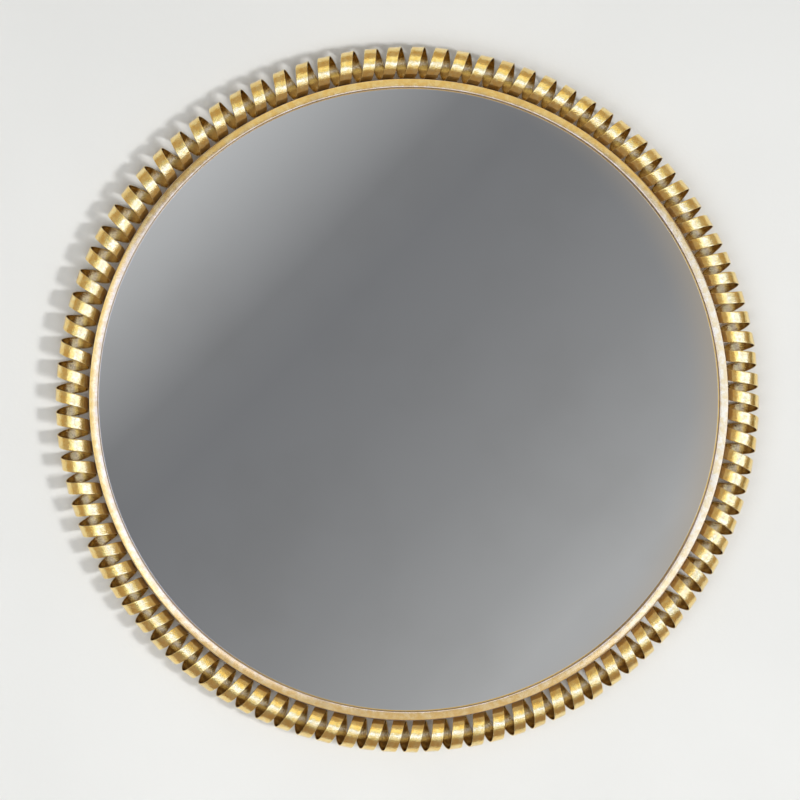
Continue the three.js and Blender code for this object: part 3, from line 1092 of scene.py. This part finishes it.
@dataclass
class ScrewSizes:
    """One kind of pan-headed screw. The shares are of the recess, the head's radius or its height."""

    head_mm: float
    head_height_mm: float
    shank_mm: float
    recess_mm: float
    slot_share: float = 0.26
    slant_share: float = 0.98
    crown_share: float = 0.72
    pit_share: float = 0.72
    shoulder_mm: float = 0.9
    edge_mm: float = 0.1
    thread_depth_mm: float = 0.25
    thread_mm: float = 0.7
    pitch_mm: float = 0.75
    thread_start_mm: float = 0.4
    thread_end_mm: float = 0.9
    segments: int = 40

    def cross(self) -> list[Point]:
        """The cross-shaped recess, as points round it."""
        long = self.recess_mm
        thin = self.recess_mm * self.slot_share
        quarter = [(long, -thin), (long * self.slant_share, thin), (thin, thin)]
        points = []
        for turn in range(4):
            angle = math.pi / 2 * turn
            for x, y in quarter:
                across = x * math.cos(angle) - y * math.sin(angle)
                points.append((across, x * math.sin(angle) + y * math.cos(angle)))
        return points

    def add_to(self, shape: Shape, head_front: float, tip: float) -> None:
        """Adds the screw to a shape.

        Args:
            shape: The shape, whose local origin is on the screw's axis.
            head_front: Depth of the underside of its head.
            tip: Depth of its tip.
        """
        rear = head_front - self.head_height_mm
        half = self.head_mm / 2
        crown = half * self.crown_share
        shape.flat(circle(crown, self.segments), [self.cross()], rear)
        shape.pit(self.cross(), rear, rear + self.head_height_mm * self.pit_share)
        shoulder = self.shoulder_mm
        dome = arc(half - shoulder, rear + shoulder, shoulder, 290, 360, 4)
        shank = self.shank_mm / 2
        root = shank - self.thread_depth_mm
        thread = []
        depth = head_front + self.thread_start_mm
        while depth < tip - self.thread_end_mm:
            crest = (shank, depth + self.thread_mm / 2)
            thread += [(root, depth), crest, (root, depth + self.thread_mm)]
            depth += self.pitch_mm
        edge = self.edge_mm
        profile = [(crown, rear), *dome, (half, head_front - edge), (half - edge, head_front)]
        profile += [(shank, head_front), *thread, (root, tip - edge), (0, tip)]
        shape.revolve(profile, self.segments)


@dataclass
class Back(SubAssembly):
    """The hardboard back, its six lugs with turn buttons, and the wall bumpers."""

    board_radius_mm: float = 268.5
    lug_outer_mm: float = 269.0
    lug_width_mm: float = 16.0
    lug_length_mm: float = 15.0
    lug_corner_mm: float = 2.5
    button_width_mm: float = 12.0
    button_reach_mm: float = 24.0
    button_thickness_mm: float = 1.5
    rib_start_mm: float = 9.5
    rib_half_width_mm: float = 1.4
    rib_height_mm: float = 0.25
    rib_draft_mm: float = 0.6
    rib_crest_share: float = 0.45
    screw_radius_mm: float = 261.2
    notch_margin_mm: float = 1.5
    notch_corner_mm: float = 1.2
    screw_hole_mm: float = 4.6
    button_count: int = 6
    first_button: float = 30.0
    bumper_count: int = 4
    first_bumper: float = 45.0
    bumper_circle_mm: float = 225.0
    bumper_face_mm: float = 18.0
    bumper_foot_mm: float = 22.0
    bumper_edge_mm: float = 1.2
    flange_mm: float = 0.4
    neck_mm: float = 0.9
    dish_mm: tuple[Point, ...] = ((0, 0.9), (1.4, 0.8), (3.2, 0.35), (4.0, 0.0))
    edge_steps: int = 48
    turn_screw: ScrewSizes = field(default_factory=lambda: ScrewSizes(8.0, 2.0, 4.0, 2.3))

    def button_angles(self) -> list[float]:
        """Clock angles of the lugs."""
        step = 360 / self.button_count
        return [self.first_button + step * index for index in range(self.button_count)]

    def notch(self) -> list[Point]:
        """One notch in the board's edge, from its left to its right, about the mirror's axis."""
        reach = max(self.lug_width_mm / 2, self.button_reach_mm) + self.notch_margin_mm
        left = -(self.lug_width_mm / 2 + self.notch_margin_mm)
        inner = self.lug_outer_mm - self.lug_length_mm
        inner = min(inner, self.screw_radius_mm - self.button_width_mm / 2) - self.notch_margin_mm
        corner = self.notch_corner_mm
        top_left = math.sqrt(self.board_radius_mm**2 - left**2)
        top_right = math.sqrt(self.board_radius_mm**2 - reach**2)
        return [
            (left, top_left),
            *arc(left + corner, inner + corner, corner, 180, 270, 4),
            *arc(reach - corner, inner + corner, corner, 270, 360, 4),
            (reach, top_right),
        ]

    def board_outline(self) -> list[Point]:
        """The board's edge with its notches, clockwise from the first of them."""
        notch = self.notch()
        left = math.degrees(math.atan2(notch[0][0], notch[0][1]))
        right = math.degrees(math.atan2(notch[-1][0], notch[-1][1]))
        span = 360 / self.button_count
        points: list[Point] = []
        for clock in self.button_angles():
            turn = math.radians(clock)
            for x, z in notch:
                across = x * math.cos(turn) + z * math.sin(turn)
                points.append((across, z * math.cos(turn) - x * math.sin(turn)))
            for step in range(1, self.edge_steps):
                part = (span + left - right) * step / self.edge_steps
                angle = math.radians(clock + right + part)
                across = self.board_radius_mm * math.sin(angle)
                points.append((across, self.board_radius_mm * math.cos(angle)))
        return points

    def board(self, screw_heights: Iterable[float], hole_mm: float) -> None:
        """Builds the board.

        Args:
            screw_heights: Heights of the hanging plate's screws over the mirror's axis.
            hole_mm: Their holes' diameter.
        """
        holes = [circle(hole_mm / 2, HOLE_STEPS, 0.0, height) for height in screw_heights]
        shape = Shape("back_board", clock_place())
        shape.plate(self.board_outline(), holes, BOARD_REAR_MM, BOARD_FRONT_MM)
        shape.finished([self.finishes.board], bevel_mm=0.35)

    def lug(self, number: int, clock: float) -> None:
        """Builds one lug, welded inside the hoop.

        Args:
            number: Its number.
            clock: Its clock angle.
        """
        top = self.lug_outer_mm - self.screw_radius_mm
        half = self.lug_width_mm / 2
        bottom = top - self.lug_length_mm
        corner = self.lug_corner_mm
        round_end = arc(half - corner, bottom + corner, corner, 0, -90, 5)
        round_end += arc(-half + corner, bottom + corner, corner, -90, -180, 5)
        crest = self.lug_outer_mm
        places = (-half, -half / 2, 0, half / 2, half)
        curve = [(x, math.sqrt(crest**2 - x**2) - self.screw_radius_mm) for x in places]
        shape = Shape(f"turn_lug_{number}", clock_place(clock, self.screw_radius_mm))
        holes = [circle(self.screw_hole_mm / 2, HOLE_STEPS)]
        shape.plate([*curve, *round_end], holes, BOARD_REAR_MM, BOARD_FRONT_MM)
        shape.finished([self.finishes.hoop], bevel_mm=0.4)

    def button(self, number: int, clock: float) -> None:
        """Builds one turn button, with a raised rib down its middle.

        Args:
            number: Its number.
            clock: Its clock angle.
        """
        half = self.button_width_mm / 2
        far = self.button_reach_mm - half
        front = BOARD_REAR_MM - TOUCH_GAP_MM
        rear = front - self.button_thickness_mm
        outline = arc(0, 0, half, 0, 180, 16) + arc(0, -far, half, 180, 360, 16)
        shape = Shape(f"turn_button_{number}", clock_place(clock, self.screw_radius_mm))
        shape.plate(outline, [circle(self.screw_hole_mm / 2, HOLE_STEPS)], rear, front)
        rib = arc(0, -self.rib_start_mm, self.rib_half_width_mm, 0, 180, 8)
        rib += arc(0, -far, self.rib_half_width_mm, 180, 360, 8)
        foot = [shape.point(x, rear, z) for x, z in rib]
        middle = -(self.rib_start_mm + far) / 2
        crest = []
        for x, z in rib:
            draft = self.rib_draft_mm if z < middle else -self.rib_draft_mm
            crest.append(shape.point(x * self.rib_crest_share, rear - self.rib_height_mm, z + draft))
        shape.ring_faces([foot, crest], False)
        shape.mesh.faces.new(crest)
        shape.finished([self.finishes.zinc], f"turn_button_{number}", bevel_mm=0.25)

    def screw(self, number: int, clock: float) -> None:
        """Builds one turn button's screw.

        Args:
            number: Its number.
            clock: Its clock angle.
        """
        head_front = BOARD_REAR_MM - 2 * TOUCH_GAP_MM - self.button_thickness_mm
        shape = Shape(f"turn_screw_{number}", clock_place(clock, self.screw_radius_mm))
        self.turn_screw.add_to(shape, head_front, BOARD_FRONT_MM - SCREW_TIP_INSET_MM)
        shape.finished([self.finishes.zinc])

    def bumper(self, number: int, clock: float) -> None:
        """Builds one wall bumper, with a shallow dish in its face.

        Args:
            number: Its number.
            clock: Its clock angle.
        """
        face = self.bumper_face_mm / 2
        foot = self.bumper_foot_mm / 2
        height = BOARD_REAR_MM - TOUCH_GAP_MM
        edge = self.bumper_edge_mm
        profile = [
            *self.dish_mm,
            *arc(face - edge, edge, edge, 270, 350, 5),
            (foot - self.flange_mm, height - self.neck_mm),
            (foot, height - self.flange_mm),
            (foot, height),
            (0, height),
        ]
        shape = Shape(f"wall_bumper_{number}", clock_place(clock, self.bumper_circle_mm))
        shape.revolve(profile, 48)
        shape.finished([self.finishes.rubber])

    def build(self, screw_heights: Iterable[float], hole_mm: float) -> None:
        """Builds the whole back.

        Args:
            screw_heights: Heights of the hanging plate's screws over the mirror's axis.
            hole_mm: Their holes' diameter.
        """
        self.board(screw_heights, hole_mm)
        for index, clock in enumerate(self.button_angles()):
            self.lug(index + 1, clock)
            self.button(index + 1, clock)
            self.screw(index + 1, clock)
        for index in range(self.bumper_count):
            self.bumper(index + 1, self.first_bumper + 360 / self.bumper_count * index)


@dataclass
class Hanger(SubAssembly):
    """The hanging plate with its rolled knuckle, the wire ring in it, and its screws."""

    wire_mm: float = 3.0
    half_width_mm: float = 10.5
    straight_mm: float = 8.0
    corner_mm: float = 3.0
    knuckle_radius_mm: float = 3.2
    bore_radius_mm: float = 1.9
    knuckle_edge_mm: float = 0.3
    knuckle_sides: int = 48
    wire_sides: int = 20
    plate_width_mm: float = 16.0
    plate_length_mm: float = 46.0
    plate_thickness_mm: float = 1.2
    plate_top_mm: float = 2.4
    screw_places_mm: tuple[float, ...] = (12.0, 36.0)
    screw_hole_mm: float = 4.1
    screw_sizes: ScrewSizes = field(default_factory=lambda: ScrewSizes(7.0, 1.6, 3.5, 2.0))

    @property
    def bar_height_mm(self) -> float:
        """Height of the ring's bar over the mirror's axis."""
        return HANG_DROP_MM - self.straight_mm - self.half_width_mm + self.wire_mm / 2

    def screw_heights(self) -> list[float]:
        """Heights of the screws over the mirror's axis."""
        return [self.bar_height_mm - place for place in self.screw_places_mm]

    def plate(self) -> None:
        """Builds the plate and its rolled knuckle."""
        half = self.plate_width_mm / 2
        low = self.plate_length_mm - half
        front = BOARD_REAR_MM - TOUCH_GAP_MM
        rear = front - self.plate_thickness_mm
        shape = Shape("hanger_plate", clock_place(0.0, self.bar_height_mm))
        top = -self.plate_top_mm
        outline = [(half, top), (-half, top), *arc(0, -low, half, 180, 360, 24)]
        hole = self.screw_hole_mm / 2
        holes = [circle(hole, HOLE_STEPS, 0.0, -place) for place in self.screw_places_mm]
        shape.plate(outline, holes, rear, front)
        rings = []
        edge = self.knuckle_edge_mm
        section = [
            (self.bore_radius_mm, -half + edge),
            (self.bore_radius_mm + edge, -half),
            (self.knuckle_radius_mm - edge, -half),
            (self.knuckle_radius_mm, -half + edge),
            (self.knuckle_radius_mm, half - edge),
            (self.knuckle_radius_mm - edge, half),
            (self.bore_radius_mm + edge, half),
            (self.bore_radius_mm, half - edge),
        ]
        for radius, across in section:
            turned = circle(radius, self.knuckle_sides)
            rings.append([shape.point(across, RING_DEPTH_MM + y, z) for y, z in turned])
        shape.ring_faces(rings, True)
        shape.finished([self.finishes.zinc], bevel_mm=0.2)

    def ring(self) -> None:
        """Builds the wire ring."""
        corner = self.half_width_mm - self.corner_mm
        path: list[tuple[Point, float]] = []
        stretches = (
            (corner, self.corner_mm, self.corner_mm, -90, 0, 10),
            (0.0, self.straight_mm, self.half_width_mm, 0, 180, 40),
            (-corner, self.corner_mm, self.corner_mm, 180, 270, 10),
        )
        for x, z, radius, start, end, steps in stretches:
            for step, point in enumerate(arc(x, z, radius, start, end, steps)):
                path.append((point, math.radians(start + (end - start) * step / steps)))
        shape = Shape("hanger_ring", clock_place(0.0, self.bar_height_mm))
        rings = []
        for (x, z), angle in path:
            ring = []
            for out, side in circle(self.wire_mm / 2, self.wire_sides):
                across = x + out * math.cos(angle)
                ring.append(shape.point(across, RING_DEPTH_MM + side, z + out * math.sin(angle)))
            rings.append(ring)
        shape.ring_faces(rings, True)
        shape.finished([self.finishes.zinc], Body.HANGER_RING.value)

    def build(self) -> None:
        """Builds plate, ring and screws."""
        self.plate()
        self.ring()
        head_front = BOARD_REAR_MM - 2 * TOUCH_GAP_MM - self.plate_thickness_mm
        for index, height in enumerate(self.screw_heights()):
            shape = Shape(f"hanger_screw_{index + 1}", clock_place(0.0, height))
            self.screw_sizes.add_to(shape, head_front, BOARD_FRONT_MM - SCREW_TIP_INSET_MM)
            shape.finished([self.finishes.zinc])


# ------------------------------------------------------------------------------- room


@dataclass(frozen=True)
class Panel:
    """A flat light that faces the mirror.

    Attributes:
        name: Its name.
        right: Its angle to the right of straight in front of the mirror, in degrees.
        up: Its angle above the mirror's middle, in degrees.
        distance: From the mirror's middle.
        width: How wide it is.
        height: How high it is.
        radiance: How bright its face is.
        tint: The colour of its light.
        soft_light: Whether it lights matt surfaces.
        shine: Whether it is mirrored in glossy ones.
    """

    name: str
    right: float
    up: float
    distance: float
    width: float
    height: float
    radiance: float
    tint: Colour = (1.0, 1.0, 1.0)
    soft_light: bool = False
    shine: bool = True


@dataclass
class Room:
    """The wall, the floor, the lights and the camera.

    The pairs say between which parts of a unit direction one stretch of what is mirrored fades
    into the next: downwards, to the right, and ahead of the mirror.
    """

    wall_gap_mm: float = 0.4
    wall_size: float = 9.0
    floor_drop: float = 1.45
    ambient: Colour = (0.30, 0.30, 0.2955)
    lamp_power: float = 4.0
    background: Colour = (0.86, 0.865, 0.845)
    interior: Colour = (0.49, 0.405, 0.30)
    low_interior: Colour = (0.31, 0.235, 0.19)
    side_interior: Colour = (0.16, 0.13, 0.07)
    rear_interior: Colour = (0.52, 0.515, 0.50)
    mirrored_slant: tuple[tuple[float, Colour], ...] = (
        (0.085, (0.545, 0.552, 0.556)),
        (0.205, (0.352, 0.357, 0.362)),
        (0.300, (0.220, 0.224, 0.230)),
        (0.385, (0.198, 0.202, 0.210)),
        (0.530, (0.222, 0.226, 0.232)),
        (0.690, (0.272, 0.276, 0.280)),
        (0.845, (0.362, 0.366, 0.368)),
        (0.930, (0.452, 0.456, 0.457)),
    )
    slant_span: float = 1.2
    low_from: Point = (0.42, 0.60)
    low_share: float = 0.80
    right_from: Point = (0.88, 0.96)
    right_share: float = 0.85
    rear_until: Point = (-0.30, -0.05)
    glass_from: Point = (0.76, 0.84)
    camera_left: float = 5.0
    camera_distance: float = 2.4
    centre_pixel: Point = (410.7, 399.6)
    panels: tuple[Panel, ...] = (
        Panel("side_key", 36.0, -9.0, 5.0, 0.70, 0.70, 61.0, (1.0, 0.992, 0.975), True, False),
        Panel("low_key", -13.0, -16.0, 2.1, 2.4, 1.4, 1.68, (1.0, 0.995, 0.985), True, False),
        Panel("rear_key", 160.0, 25.0, 2.6, 1.6, 1.6, 4.1, (1.0, 0.995, 0.985), True, False),
        Panel("right_window", 32.0, -3.0, 3.0, 1.80, 1.50, 1.18, (0.63, 0.90, 1.80)),
        Panel("front_window", -0.5, 1.0, 3.0, 1.48, 0.84, 1.18, (0.66, 0.91, 2.10)),
        Panel("low_window", -7.5, -10.0, 3.0, 0.72, 0.40, 1.10, (0.68, 0.93, 2.00)),
        Panel("left_wall", -26.0, -2.0, 3.0, 1.5, 1.6, 0.80, (0.92, 1.02, 0.92)),
        Panel("upper_panel", 10.0, 29.0, 3.0, 2.2, 1.8, 0.58, (1.0, 1.0, 0.68)),
        Panel("lower_panel", 3.0, -21.0, 3.0, 2.0, 1.2, 0.44, (0.98, 1.0, 0.98)),
    )

    @property
    def centre(self) -> Vector:
        """The middle of the wound frame."""
        return Vector((0.0, (RING_DEPTH_MM - COIL_DEPTH_MM) * MM, -HANG_DROP_MM * MM))

    def sheet(self, name: str, corners: Sequence[Place], finish: Finish) -> bpy.types.Object:
        """Makes one large flat stage piece.

        Args:
            name: Its name.
            corners: Its corners, in order.
            finish: Its finish.

        Returns:
            The piece.
        """
        mesh = bpy.data.meshes.new(name)
        mesh.from_pydata([Vector(corner) for corner in corners], [], [tuple(range(len(corners)))])
        mesh.materials.append(finish.material())
        sheet = bpy.data.objects.new(name, mesh)
        bpy.context.scene.collection.objects.link(sheet)
        return sheet

    def wall_and_floor(self) -> bpy.types.Object:
        """Builds the wall close behind the bumpers, and the floor far below.

        Returns:
            The floor.
        """
        half = self.wall_size / 2
        wall_y = (RING_DEPTH_MM + self.wall_gap_mm) * MM
        floor_z = self.centre.z - self.floor_drop
        wall = [(-half, wall_y, floor_z), (half, wall_y, floor_z)]
        wall += [(half, wall_y, half), (-half, wall_y, half)]
        floor = [(-half, wall_y - half * 2, floor_z), (half, wall_y - half * 2, floor_z)]
        floor += [(half, wall_y + half, floor_z), (-half, wall_y + half, floor_z)]
        self.sheet("wall", wall, WallPaint("rolled_wall_paint"))
        ground = self.sheet("floor", floor, FloorPaint("pale_floor"))
        ground.visible_glossy = False
        return ground

    def light_panel(self, panel: Panel, kept_out: bpy.types.Collection) -> None:
        """Places one light.

        Args:
            panel: What it is.
            kept_out: The pieces that it doesn't light.
        """
        lamp = bpy.data.lights.new(panel.name, "AREA")
        lamp.shape = "RECTANGLE"
        lamp.size = panel.width
        lamp.size_y = panel.height
        lamp.color = panel.tint
        lamp.energy = self.lamp_power * panel.width * panel.height * panel.radiance
        light = bpy.data.objects.new(panel.name, lamp)
        bpy.context.scene.collection.objects.link(light)
        right = math.radians(panel.right)
        up = math.radians(panel.up)
        ray = Vector((math.sin(right) * math.cos(up), -math.cos(right) * math.cos(up), math.sin(up)))
        light.location = self.centre + ray * panel.distance
        light.rotation_euler = (-ray).to_track_quat("-Z", "Y").to_euler()
        light.visible_camera = False
        light.visible_diffuse = panel.soft_light
        light.visible_glossy = panel.shine
        light.light_linking.receiver_collection = kept_out
        log.info("light %s", panel.name)

    def lights(self, passed_by: Sequence[bpy.types.Object]) -> None:
        """Places the lights.

        Args:
            passed_by: What they don't light: the glass, so that none shows in it, and the floor.
        """
        kept_out = bpy.data.collections.new("not_lit_by_panels")
        for index, piece in enumerate(passed_by):
            kept_out.objects.link(piece)
            kept_out.collection_objects[index].light_linking.link_state = "EXCLUDE"
        for panel in self.panels:
            self.light_panel(panel, kept_out)

    def world(self) -> None:
        """Builds the surroundings: pale to the eye, even as light, and shaded where it is mirrored."""
        world = bpy.data.worlds.new("studio")
        bpy.context.scene.world = world
        world.use_nodes = True
        shading = Shading(world.node_tree)
        direction = shading.node("ShaderNodeTexCoord", output="Generated")
        across, away, up = (
            shading.node("ShaderNodeSeparateXYZ", {}, {"Vector": direction}, axis) for axis in "XYZ"
        )
        ahead = 0 - away
        slant = (across - up) * (1 / math.sqrt(2))
        place = slant * (1 / self.slant_span) + 0.5
        ramp = shading.node("ShaderNodeValToRGB", {"stops": self.mirrored_slant}, {0: place}, "Color")
        low = (0 - up).between(*self.low_from) * self.low_share
        far_right = across.between(*self.right_from) * self.right_share
        around = shading.over(low, self.interior, self.low_interior)
        around = shading.over(far_right, around, self.side_interior)
        around = shading.over(ahead.between(*self.rear_until), self.rear_interior, around)
        mirrored = shading.over(ahead.between(*self.glass_from), around, ramp)
        seen = shading.node("ShaderNodeLightPath", output=Ray.CAMERA.value)
        glossy = shading.node("ShaderNodeLightPath", output=Ray.GLOSSY.value)
        colour = shading.over(glossy, self.ambient, mirrored)
        colour = shading.over(seen, colour, self.background)
        glow = shading.node("ShaderNodeBackground", {}, {"Color": colour, "Strength": 1.0})
        shading.node("ShaderNodeOutputWorld", {}, {"Surface": glow})

    def camera(self) -> None:
        """Places the camera a little to the left of the mirror's axis, level with its middle."""
        left = math.radians(self.camera_left)
        back = Vector((-math.sin(left), -math.cos(left), 0.0))
        right = Vector((math.cos(left), -math.sin(left), 0.0))
        per_pixel = PHOTO_MM_PER_PIXEL * MM
        middle = IMAGE_PIXELS / 2
        aim = self.centre - right * (self.centre_pixel[0] - middle) * per_pixel
        aim = aim + Vector((0.0, 0.0, (self.centre_pixel[1] - middle) * per_pixel))
        lens = bpy.data.cameras.new("viewer")
        lens.sensor_width = 36.0
        lens.lens = lens.sensor_width * self.camera_distance / (IMAGE_PIXELS * per_pixel)
        lens.clip_end = 50.0
        viewer = bpy.data.objects.new("viewer", lens)
        bpy.context.scene.collection.objects.link(viewer)
        viewer.location = self.centre + back * self.camera_distance
        viewer.rotation_euler = (aim - viewer.location).to_track_quat("-Z", "Y").to_euler()
        bpy.context.scene.camera = viewer

    def build(self, glass: bpy.types.Object) -> None:
        """Builds the room.

        Args:
            glass: The mirror's glass.
        """
        floor = self.wall_and_floor()
        self.lights([glass, floor])
        self.world()
        self.camera()
        bpy.context.scene.view_settings.view_transform = "Standard"


# ------------------------------------------------------------------------------- all of it


def main() -> None:
    logging.basicConfig(level=logging.INFO, format="%(message)s")
    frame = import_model()
    log.info("frame of %d nodes", len(frame["nodes"]))
    finishes = FinishSet()
    glass = GlassAndHoop(finishes).build()
    WoundFrame(finishes).build()
    hanger = Hanger(finishes)
    hanger.build()
    Back(finishes).build(hanger.screw_heights(), hanger.screw_hole_mm)
    Room().build(glass)


if __name__ == "__main__":
    main()
